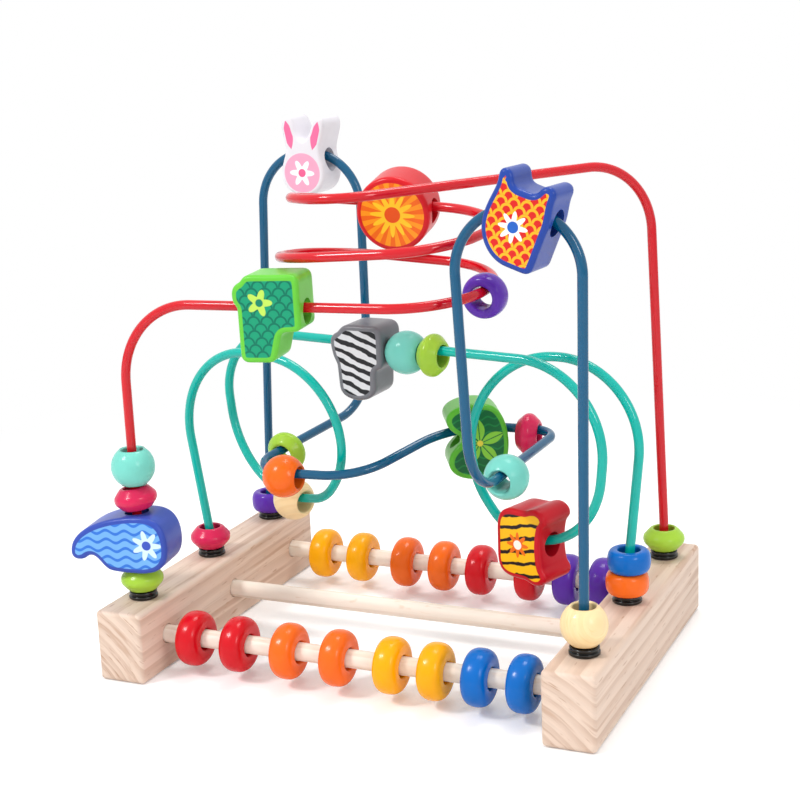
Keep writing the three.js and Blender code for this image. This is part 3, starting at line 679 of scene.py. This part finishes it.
block = {"half": 12.5, "edge": 2.2, "sharp": 45, "spacing": 0.8, "grid": 1.7, "gridClear": 0.7,
         "bore": 6.5, "boreSides": 12, "drill": 6.8, "drillReach": 60, "fit": 0.3, "border": 2.9}
borders = {"rabbit": 1.9}  # width of the side colour round a print where it isn't the usual one
outlines = {
    "elephant": [(4, -16.2), (21, -16.2, 21, -1), (21, 16.2, 6, 16.2), (-14, 16.2, -36, 8, -36, -5),
                 (-36, -9.5, -31.5, -9.5), (-28, -9.5, -26.5, -7.5), (-21, -4, -19, -12, -14, -14.7),
                 (-10, -16.2, 4, -16.2)],
    "crocodile": [(-16, -20), (-16, -24.5, -11.5, -24.5), (-1, -24.5), (2.8, -24.5, 3.6, -20.5),
                  (5.8, -12), (6.6, -8.8, 9.6, -8.8), (13.5, -8.8), (17.5, -8.8, 17.5, -4.8), (17.5, 16),
                  (17.5, 20.5, 13, 20.5), (-8.5, 20.5), (-12, 20.5, -13.5, 17),
                  (-18.5, 15.5, -18.5, 10.5), (-18.5, 5.5, -16, 4.2), (-16, -20)],
    "zebra": [(-11.5, -19.5), (-11.5, -30, 11, -30, 11, -19.5), (11.2, -12), (11.4, -9, 13.2, -9),
              (15.5, -9, 15.5, -6), (15.5, 9), (15.5, 15, 9.5, 15), (-4, 15), (-9, 15, -11.5, 10.5),
              (-17, 9, -16, 3), (-15, -4, -12.5, -7), (-11.5, -19.5)],
    "tiger": [(-7, -15.5), (7, -15.5), (16, -15.5, 19.5, -12, 19.5, -3), (19.5, 4), (23, 10, 20, 14.5),
              (16, 19.5, 11.5, 14.5), (0, 11.5, -11.5, 14.5), (-16, 19.5, -20, 14.5),
              (-23, 10, -19.5, 4), (-19.5, -3), (-19.5, -12, -16, -15.5, -7, -15.5)],
    "rabbit": [(0, -21), (9, -21, 14, -15, 14, -8), (14, -1.5, 10.5, 2, 11.5, 8), (13.8, 17.5),
               (14.8, 25, 10.6, 25), (7, 25, 5, 17.5), (3, 11.5, 0, 11.5), (-3, 11.5, -5, 17.5),
               (-7, 25, -10.6, 25), (-14.8, 25, -13.8, 17.5), (-11.5, 8), (-10.5, 2, -14, -1.5, -14, -8),
               (-14, -15, -9, -21, 0, -21)],
    "owl": [(9, -23.5), (13.5, -23.5, 13.5, -19), (14.5, -2), (15.5, 6, 13, 10, 14, 15),
            (14, 19.5, 10, 19.5), (6.5, 19.5, 5.5, 16), (4.5, 13.5, 1, 13.5), (-4, 13.5),
            (-7.5, 13.5, -8.5, 16.5), (-9.5, 20.5, -13, 20.5), (-17, 20.5, -16, 15.5),
            (-15, 10, -18, 5, -18, -4), (-18, -15, -9, -23.5, 0, -23.5), (9, -23.5)],
    "green": [(-10, -2), (-18, -7, -18, -13), (-18, -25, 5, -27, 12, -19), (19, -11, 18.5, 11, 10, 17),
              (1, 22, -17, 20, -17, 11.5), (-17, 6.5, -10, 2), (-10, -2)],
    "round": [(20.5, 0), (20.5, 11.32, 11.32, 20.5, 0, 20.5), (-11.32, 20.5, -20.5, 11.32, -20.5, 0),
              (-20.5, -11.32, -11.32, -20.5, 0, -20.5), (11.32, -20.5, 20.5, -11.32, 20.5, 0)],
}
# bore axis, bored stretch along it, wire, distance along the wire, yaw about up, swing about the wire
seats = {
    "crocodile": ("x", -16.5, 17.5, "red", 241.5, 0.15, 0),
    "round": ("x", -20.5, 20.5, "red", 780, 0.13, 0.15),
    "zebra": ("x", -15.5, 15.5, "teal", 513, 0.12, 0),
    "tiger": ("z", -15.5, 13.5, "teal", 763, 0, 0),
    "rabbit": ("x", -13, 13, "blue", 252, 0, 0),
    "green": ("x", -16, 17, "blue", 649, 0.12, 0),
    "owl": ("x", -18, 15.5, "blue", 963, -0.06, 0),
}
tilts = {"owl": 0.14}  # lean of the outline about the bore's middle, clockwise from the front
elephantYaw = 0.17  # turn on its post, about up


# lines, quadratic and cubic curves from point to point, then evenly respaced and lightly smoothed
def outlinePoints(path):
    at = np.array(path[0], float)
    dense = []
    for part in path[1:]:
        control = np.array([at, *np.array(part, float).reshape(-1, 2)])
        t = np.linspace(0, 1, 60, endpoint=False)[:, None]
        while len(control) > 1:
            control = np.array([(1 - t) * a + t * b for a, b in zip(control[:-1], control[1:])])
        dense.append(control[0])
        at = np.array(part[-2:], float)
    dense = np.concatenate(dense)
    steps = np.linalg.norm(np.diff(dense, axis=0, append=dense[:1]), axis=1)
    reach = np.concatenate([[0], np.cumsum(steps)])
    even = np.linspace(0, reach[-1], int(reach[-1] / block["spacing"]), endpoint=False)
    closed = np.concatenate([dense, dense[:1]])
    points = np.stack([np.interp(even, reach, closed[:, k]) for k in (0, 1)], axis=-1)
    for _ in range(3):
        points = (np.roll(points, 1, axis=0) + 2 * points + np.roll(points, -1, axis=0)) / 4
    return points


def leaned(points, angle):
    c, s = math.cos(angle), math.sin(angle)
    return points @ np.array([[c, -s], [s, c]])


def outwardNormals(points):
    along = np.roll(points, -1, axis=0) - np.roll(points, 1, axis=0)
    along = along / np.linalg.norm(along, axis=1, keepdims=True)
    area = np.sum(points[:, 0] * np.roll(points[:, 1], -1) - np.roll(points[:, 0], -1) * points[:, 1])
    return np.stack([along[:, 1], -along[:, 0]], axis=-1) * np.sign(area)


def edgeDistance(points, outline):
    leg = np.roll(outline, -1, axis=0) - outline
    away = points[:, None] - outline[None]
    share = np.clip(np.sum(away * leg, axis=-1) / np.sum(leg * leg, axis=-1), 0, 1)
    return np.min(np.linalg.norm(away - leg * share[..., None], axis=-1), axis=1)


def insideOutline(points, outline):
    ahead = np.roll(outline, -1, axis=0)
    x, y = points[:, None, 0], points[:, None, 1]
    spans = (outline[:, 1] > y) != (ahead[:, 1] > y)
    rise = np.where(ahead[:, 1] == outline[:, 1], 1e-9, ahead[:, 1] - outline[:, 1])
    cross = outline[:, 0] + (y - outline[:, 1]) / rise * (ahead[:, 0] - outline[:, 0])
    return np.sum(spans & (x < cross), axis=1) % 2 == 1


# the wall: the outline moved in by e (1 - sin a) while the depth runs round a quarter at each face
def blockSolid(outline):
    normals = outwardNormals(outline)
    edge, half = block["edge"], block["half"]
    turn = np.linspace(0, np.pi / 2, 7)
    inset = np.concatenate([edge * (1 - np.sin(turn)), np.zeros(9), edge * (1 - np.sin(turn[::-1]))])
    depth = -half + edge * (1 - np.cos(turn))
    straight = np.linspace(-half + edge, half - edge, 11)[1:-1]
    depth = np.concatenate([depth, straight, -depth[::-1]])
    ring = outline[None] - normals[None] * inset[:, None, None]
    deep = np.broadcast_to(depth[:, None], ring.shape[:2])
    wall = np.stack([ring[..., 0], deep, ring[..., 1]], axis=-1)
    faces = gridFaces(len(depth), len(outline), False, True).tolist()
    capPoints, capFaces = fillCap(ring[0])
    front = np.stack([capPoints[:, 0], np.full(len(capPoints), -half), capPoints[:, 1]], axis=-1)
    rear = front * [1, -1, 1]
    count = wall.shape[0] * wall.shape[1]
    faces += (capFaces + count).tolist()
    faces += (capFaces[:, ::-1] + count + len(front)).tolist()
    return np.concatenate([wall.reshape(-1, 3), front, rear]), faces


# the flat face: the ring itself and an even net of points inside it, joined into triangles
def fillCap(ring):
    low, high = ring.min(axis=0), ring.max(axis=0)
    step = block["grid"]
    x, y = np.meshgrid(np.arange(low[0], high[0], step), np.arange(low[1], high[1], step))
    net = np.stack([x + (np.arange(len(x))[:, None] % 2) * step / 2, y], axis=-1).reshape(-1, 2)
    net = net[insideOutline(net, ring)]
    net = net[edgeDistance(net, ring) > block["gridClear"]]
    points = [Vector(point) for point in np.concatenate([ring, net])]
    edges = [(k, (k + 1) % len(ring)) for k in range(len(ring))]
    made = delaunay_2d_cdt(points, edges, [], 1, 1e-6)
    return np.array([tuple(point) for point in made[0]]), np.array([list(face) for face in made[2]])


# a smooth drill through the block
def drillTool(axis):
    radius, reach = block["drill"], block["drillReach"]
    profile = [(0, -reach), (radius, -reach), (radius, reach), (0, reach)]
    turn = frameAlong((1, 0, 0) if axis == "x" else (0, 0, 1))
    return toolObject(placed(turned(profile, 64), np.zeros(3), turn))


# the place of a block on its wire: the bore straddles the wire's bend and sinks until it meets the wire
def seatFrame(name):
    axis, start, end, wireName, distance, yaw, swing = seats[name]
    route, tangents = seatRoutes[wireName]
    reach = np.concatenate([[0], np.cumsum(np.linalg.norm(np.diff(route, axis=0), axis=1))])

    def at(values, where):
        where = np.asarray(where) + wire["seatDepth"]
        return np.stack([np.interp(where, reach, values[:, k]) for k in range(3)], axis=-1)

    origin = at(route, distance)
    along = at(tangents, distance)
    along = along / np.linalg.norm(along) * (1 if along[0] >= 0 else -1)
    up = upFrom(along)
    along = turnAbout(along, up, yaw)
    back = np.cross(up, along)
    room = block["bore"] * math.cos(math.pi / block["boreSides"]) - wire["radius"] - block["fit"]
    far = max(end, -start)
    offset = at(route, distance + np.arange(-far, far + 1e-6, 1.0)) - origin
    offset = offset[(offset @ along >= start) & (offset @ along <= end)]
    sides = offset @ back
    middle = (sides.min() + sides.max()) / 2
    aside = np.minimum(np.abs(sides - middle), room)
    drop = min(room, np.min(np.sqrt(room ** 2 - aside ** 2) - offset @ up))
    axes = np.column_stack([along, back, up] if axis == "x" else [-up, back, along])
    return origin + back * middle - up * drop, turnAbout(axes, along, swing)


# the elephant stands on its post with the bore upright
def elephantFrame():
    post = centreOf("left_front_collar")
    place = np.array([post[0], post[1], centreOf("elephant_block")[2]])
    return place, turnAbout(np.eye(3), (0, 0, 1), elephantYaw)


def setFields(mesh, outline):
    count = len(mesh.vertices)
    places = np.empty(count * 3, np.float32)
    mesh.vertices.foreach_get("co", places)
    places = places.reshape(-1, 3) / mm
    flat = np.abs(np.abs(places[:, 1]) - block["half"]) < 0.01
    depth = np.where(flat, edgeDistance(places[:, [0, 2]], outline), 0.0)
    edge = mesh.attributes.new("edge", "FLOAT", "POINT")
    edge.data.foreach_set("value", depth.astype(np.float32))
    panel = mesh.uv_layers.new(name="panel")
    corners = np.empty(len(mesh.loops), np.int32)
    mesh.loops.foreach_get("vertex_index", corners)
    panel.data.foreach_set("uv", (places[corners][:, [0, 2]]).astype(np.float32).ravel())


def makeBlock(name, material):
    node = name + "_block"
    outline = leaned(outlinePoints(outlines[name]), tilts.get(name, 0.0))
    axis = "z" if name == "elephant" else seats[name][0]
    points, faces = blockSolid(outline)
    blank = makeMesh(node, points, faces, block["sharp"])
    mesh = cutOut(blank, [drillTool(axis)])
    mesh.name = node
    setFields(mesh, outline)
    origin, axes = elephantFrame() if name == "elephant" else seatFrame(name)
    move = Matrix(axes.tolist()).to_4x4()
    move.translation = Vector(origin * mm)
    mesh.transform(move)
    mesh.shade_smooth()
    mesh.set_sharp_from_angle(angle=math.radians(block["sharp"]))
    return addPiece(node, mesh, material)


# prints: each is worked out from the face's own millimetres and lies inside a border of the side colour

def stripes(tree, place, direction, spacing, width, wobble=0.0, grain=0.12):
    along = vectorMaths(tree, "DOT_PRODUCT", place, direction)
    drift = maths(tree, "SUBTRACT", noise(tree, place, grain, 2), 0.5)
    phase = maths(tree, "DIVIDE", maths(tree, "MULTIPLY_ADD", drift, wobble, along), spacing)
    away = maths(tree, "ABSOLUTE", maths(tree, "SUBTRACT", maths(tree, "FRACT", phase), 0.5))
    return smoothStep(tree, away, width / spacing / 2 + 0.03, width / spacing / 2 - 0.03)


def rays(tree, place, count, share):
    flat = addNode(tree, "SeparateXYZ", {0: place}).outputs
    angle = maths(tree, "ARCTAN2", flat[1], flat[0])
    phase = maths(tree, "FRACT", maths(tree, "MULTIPLY", angle, count / (2 * math.pi)))
    away = maths(tree, "ABSOLUTE", maths(tree, "SUBTRACT", phase, 0.5))
    return smoothStep(tree, away, share / 2 + 0.03, share / 2 - 0.03)


def within(tree, place, centre, radius):
    away = vectorMaths(tree, "LENGTH", vectorMaths(tree, "SUBTRACT", place, centre))
    return smoothStep(tree, away, radius + 0.15, radius - 0.15)


# petals: inside where the distance is below r (0.74 + 0.26 cos n a)
def flower(tree, place, centre, radius, petals):
    away = vectorMaths(tree, "SUBTRACT", place, centre)
    flat = addNode(tree, "SeparateXYZ", {0: away}).outputs
    angle = maths(tree, "ARCTAN2", flat[1], flat[0])
    lobe = maths(tree, "COSINE", maths(tree, "MULTIPLY", angle, petals))
    reach = maths(tree, "MULTIPLY_ADD", lobe, 0.26 * radius, 0.74 * radius)
    short = maths(tree, "SUBTRACT", reach, vectorMaths(tree, "LENGTH", away))
    return smoothStep(tree, short, -0.12, 0.12)


# scales: half-shifted rows of arcs, each at half the cell's width from the cell's foot
def scales(tree, place, width, line):
    flat = addNode(tree, "SeparateXYZ", {0: place}).outputs
    rows = maths(tree, "DIVIDE", flat[1], width / 2)
    shift = maths(tree, "MULTIPLY", maths(tree, "FLOORED_MODULO", maths(tree, "FLOOR", rows), 2.0), 0.5)
    column = maths(tree, "FRACT", maths(tree, "ADD", maths(tree, "DIVIDE", flat[0], width), shift))
    x = maths(tree, "MULTIPLY", maths(tree, "SUBTRACT", column, 0.5), width)
    y = maths(tree, "MULTIPLY", maths(tree, "FRACT", rows), width / 2)
    reach = vectorMaths(tree, "LENGTH", addNode(tree, "CombineXYZ", {0: x, 1: y}).outputs[0])
    away = maths(tree, "ABSOLUTE", maths(tree, "SUBTRACT", reach, width / 2 - line / 2))
    return smoothStep(tree, away, line / 2 + 0.1, line / 2 - 0.1)


# waves: lines where (y + a sin(2 pi x / l)) / s is close to a whole number and a half
def waves(tree, place, spacing, width, swell, length):
    flat = addNode(tree, "SeparateXYZ", {0: place}).outputs
    bend = maths(tree, "SINE", maths(tree, "MULTIPLY", flat[0], 2 * math.pi / length))
    phase = maths(tree, "DIVIDE", maths(tree, "MULTIPLY_ADD", bend, swell, flat[1]), spacing)
    away = maths(tree, "ABSOLUTE", maths(tree, "SUBTRACT", maths(tree, "FRACT", phase), 0.5))
    return smoothStep(tree, away, width / spacing / 2 + 0.03, width / spacing / 2 - 0.03)


# a leaf: half width w (1 - (2 u / l)^2) about its midrib, which can be left out as a line
def leaf(tree, place, centre, angle, length, width, ribbed):
    away = vectorMaths(tree, "SUBTRACT", place, centre)
    c, s = math.cos(angle), math.sin(angle)
    along = vectorMaths(tree, "DOT_PRODUCT", away, (c, s, 0))
    aside = maths(tree, "ABSOLUTE", vectorMaths(tree, "DOT_PRODUCT", away, (-s, c, 0)))
    share = maths(tree, "MULTIPLY", along, 2 / length)
    half = maths(tree, "MULTIPLY_ADD", maths(tree, "MULTIPLY", share, share), -width / 2, width / 2)
    blade = smoothStep(tree, maths(tree, "SUBTRACT", half, aside), -0.1, 0.1)
    return maths(tree, "MULTIPLY", blade, smoothStep(tree, aside, 0.15, 0.4)) if ribbed else blade


def printElephant(tree, place):
    crests = waves(tree, place, 5.0, 1.7, 1.1, 11.0)
    sea = mixColour(tree, crests, linear(112, 172, 232), linear(52, 116, 212))
    bloom = mixColour(tree, flower(tree, place, (9.5, 0.5, 0), 8.6, 7), sea, linear(208, 230, 248))
    return mixColour(tree, within(tree, place, (9.5, 0.5, 0), 2.6), bloom, linear(58, 84, 186))


def printCrocodile(tree, place):
    skin = mixColour(tree, scales(tree, place, 7.2, 1.0), linear(22, 152, 112), linear(8, 112, 88))
    bloom = mixColour(tree, flower(tree, place, (-3.5, 6.5, 0), 7.0, 5), skin, linear(186, 224, 92))
    return mixColour(tree, within(tree, place, (-3.5, 6.5, 0), 2.0), bloom, linear(14, 128, 98))


def printZebra(tree, place):
    across = stripes(tree, place, (0.35, 0.94, 0), 5.4, 2.5, 4.6, 0.09)
    return mixColour(tree, across, linear(214, 214, 218), linear(34, 34, 38))


def printTiger(tree, place):
    across = stripes(tree, place, (0.94, 0.2, 0), 6.6, 1.9, 5.0, 0.1)
    bands = mixColour(tree, across, linear(252, 190, 26), linear(30, 26, 28))
    bloom = mixColour(tree, flower(tree, place, (0, -1, 0), 7.2, 8), bands, linear(240, 112, 26))
    return mixColour(tree, within(tree, place, (0, -1, 0), 2.6), bloom, linear(250, 244, 232))


def printRabbit(tree, place):
    white = linear(226, 223, 229)
    body = mixColour(tree, within(tree, place, (0, -7.5, 0), 11.6), white, linear(244, 164, 192))
    for side in (-1, 1):
        blade = leaf(tree, place, (side * 8.7, 14.5, 0), math.pi / 2 - side * 0.22, 17.0, 5.6, False)
        body = mixColour(tree, blade, body, linear(236, 112, 158))
    bloom = mixColour(tree, flower(tree, place, (0, -7.5, 0), 8.0, 6), body, linear(250, 244, 247))
    return mixColour(tree, within(tree, place, (0, -7.5, 0), 2.4), bloom, linear(232, 96, 144))


def printOwl(tree, place):
    feather = mixColour(tree, scales(tree, place, 6.6, 1.3), linear(212, 38, 34), linear(250, 178, 40))
    bloom = mixColour(tree, flower(tree, place, (-2, -4, 0), 7.6, 8), feather, linear(246, 244, 246))
    return mixColour(tree, within(tree, place, (-2, -4, 0), 2.8), bloom, linear(40, 96, 188))


def printGreen(tree, place):
    ripples = waves(tree, place, 4.4, 0.9, 0.8, 8.0)
    colour = mixColour(tree, ripples, linear(22, 104, 56), linear(34, 134, 68))
    for k in range(5):
        angle = math.pi / 2 + 2 * math.pi * k / 5
        centre = (7.6 * math.cos(angle) + 0.5, 7.6 * math.sin(angle) - 3, 0)
        blade = leaf(tree, place, centre, angle, 13.5, 6.4, True)
        colour = mixColour(tree, blade, colour, linear(138, 206, 66))
    return mixColour(tree, within(tree, place, (0.5, -3, 0), 1.7), colour, linear(236, 214, 70))


def printRound(tree, place):
    rim = mixColour(tree, rays(tree, place, 18, 0.5), linear(250, 150, 32), linear(240, 104, 28))
    sun = mixColour(tree, flower(tree, place, (0, 0, 0), 12.5, 12), rim, linear(252, 198, 44))
    return mixColour(tree, within(tree, place, (0, 0, 0), 4.4), sun, linear(230, 84, 30))


def blockMaterial(name, side, drawPrint):
    material, tree, shader, place = newMaterial(name + "BlockPaint")
    film = useGroup(tree, paintFilm, Vector=place, Colour=side, Drift=0.05, Gloss=0.3)
    panel = addNode(tree, "UVMap", uv_map="panel").outputs[0]
    edge = addNode(tree, "Attribute", attribute_name="edge").outputs["Fac"]
    border = borders.get(name, block["border"])
    inside = smoothStep(tree, edge, border - 0.2, border + 0.2)
    motif = drawPrint(tree, panel)
    printed = useGroup(tree, paintFilm, Vector=place, Colour=motif, Drift=0.03, Gloss=0.36)
    colour = mixColour(tree, inside, film["Colour"], printed["Colour"])
    setGloss(shader, 0.2, 0.06, 0.2)
    setSurface(tree, shader, colour, film, 0.08, 0.0003)
    return material


blockLooks = {
    "elephant": (linear(54, 78, 172), printElephant),
    "crocodile": (linear(104, 198, 62), printCrocodile),
    "round": (linear(206, 24, 34), printRound),
    "zebra": (linear(118, 118, 124), printZebra),
    "tiger": (linear(196, 14, 32), printTiger),
    "rabbit": (linear(226, 223, 229), printRabbit),
    "owl": (linear(36, 68, 156), printOwl),
    "green": (linear(92, 182, 52), printGreen),
}
for name, (side, drawPrint) in blockLooks.items():
    makeBlock(name, blockMaterial(name, side, drawPrint))
print("blocks ready")


# floor, light and camera

# near and far are where the floor starts and ends its fade to white, in metres
stage = {"floor": linear(244, 244, 244), "half": 6000.0, "lines": 13, "drop": 0.2, "glow": 0.16,
         "world": 0.62, "near": 0.22, "far": 0.62}


def makeFloor():
    reach = np.linspace(-stage["half"], stage["half"], stage["lines"])
    x, y = np.meshgrid(reach, reach, indexing="ij")
    grid = np.stack([x, y, np.full_like(x, -stage["drop"])], axis=-1)
    mesh = gridMesh("floor", grid, False, False)
    floor = newObject("floor", mesh)
    material = bpy.data.materials.new("floorPaper")
    material.use_nodes = True
    tree = material.node_tree
    tree.nodes.clear()
    paper = addNode(tree, "BsdfDiffuse", {"Color": stage["floor"]})
    seen = addNode(tree, "LightPath").outputs["Is Camera Ray"]
    away = vectorMaths(tree, "LENGTH", addNode(tree, "TexCoord").outputs["Object"])
    fade = maths(tree, "MULTIPLY", seen, smoothStep(tree, away, stage["near"], stage["far"]))
    glow = addNode(tree, "Emission", {"Strength": maths(tree, "MULTIPLY", seen, stage["glow"])})
    both = addNode(tree, "AddShader", {0: paper.outputs[0], 1: glow.outputs[0]})
    white = addNode(tree, "Emission", {"Strength": 1.0})
    faded = addNode(tree, "MixShader", {0: fade, 1: both.outputs[0], 2: white.outputs[0]})
    addNode(tree, "OutputMaterial", {"Surface": faded.outputs[0]})
    mesh.materials.append(material)


def makeWorld():
    world = bpy.data.worlds.new("studio")
    bpy.context.scene.world = world
    world.use_nodes = True
    tree = world.node_tree
    tree.nodes.clear()
    light = addNode(tree, "LightPath").outputs
    seen = maths(tree, "MAXIMUM", light["Is Camera Ray"], light["Is Glossy Ray"])
    seen = maths(tree, "MAXIMUM", seen, light["Is Transmission Ray"])
    strength = smoothStep(tree, seen, 0.0, 1.0, (stage["world"], 1.0))
    sky = addNode(tree, "Background", {"Color": (1, 1, 1, 1), "Strength": strength})
    addNode(tree, "OutputWorld", {"Surface": sky.outputs[0]})


# place and target in metres, size of the lamp in metres, power in watts
lamps = {
    "key": ((-0.9, -1.1, 1.5), (0, 0, 0.12), (0.42, 0.42), 20),
    "fill": ((1.4, -0.9, 0.9), (0, 0, 0.12), (0.5, 0.65), 8),
    "top": ((0.1, 0.5, 1.8), (0, 0, 0.1), (0.7, 0.6), 12),
}


def makeLamp(name, place, target, size, power):
    lamp = bpy.data.lights.new(name, "AREA")
    lamp.shape = "RECTANGLE"
    lamp.size, lamp.size_y = size
    lamp.energy = power
    holder = newObject(name, lamp)
    holder.location = place
    holder.rotation_euler = (Vector(target) - Vector(place)).to_track_quat("-Z", "Y").to_euler()


# focal length and image width in pixels, angles in degrees, place in millimetres from the base's middle
camera = {"focal": 1626.82, "image": 800, "sensor": 36, "azimuth": 24.47, "elevation": 13.86, "roll": 2.39,
          "place": (360.22, -792.55, 357.62)}


# rows of the view: right, up and back, turned by the roll about the line of sight
def makeCamera():
    azimuth, elevation, roll = (math.radians(camera[key]) for key in ("azimuth", "elevation", "roll"))
    back = np.array([math.sin(azimuth) * math.cos(elevation), -math.cos(azimuth) * math.cos(elevation),
                     math.sin(elevation)])
    right = np.cross((0, 0, 1), back)
    right = right / np.linalg.norm(right)
    down = -np.cross(back, right)
    turnedRight = math.cos(roll) * right + math.sin(roll) * down
    turnedUp = math.sin(roll) * right - math.cos(roll) * down
    lens = bpy.data.cameras.new("camera")
    lens.sensor_width = camera["sensor"]
    lens.lens = camera["focal"] / camera["image"] * camera["sensor"]
    lens.clip_start = 0.01
    holder = newObject("camera", lens)
    pose = Matrix(np.column_stack([turnedRight, turnedUp, back]).tolist()).to_4x4()
    pose.translation = Vector((np.array(camera["place"]) + toyMiddle) * mm)
    holder.matrix_world = pose
    bpy.context.scene.camera = holder


makeFloor()
makeWorld()
for name, (place, target, size, power) in lamps.items():
    makeLamp(name, place, target, size, power)
makeCamera()
bpy.context.scene.view_settings.view_transform = "Standard"
print("stage ready")
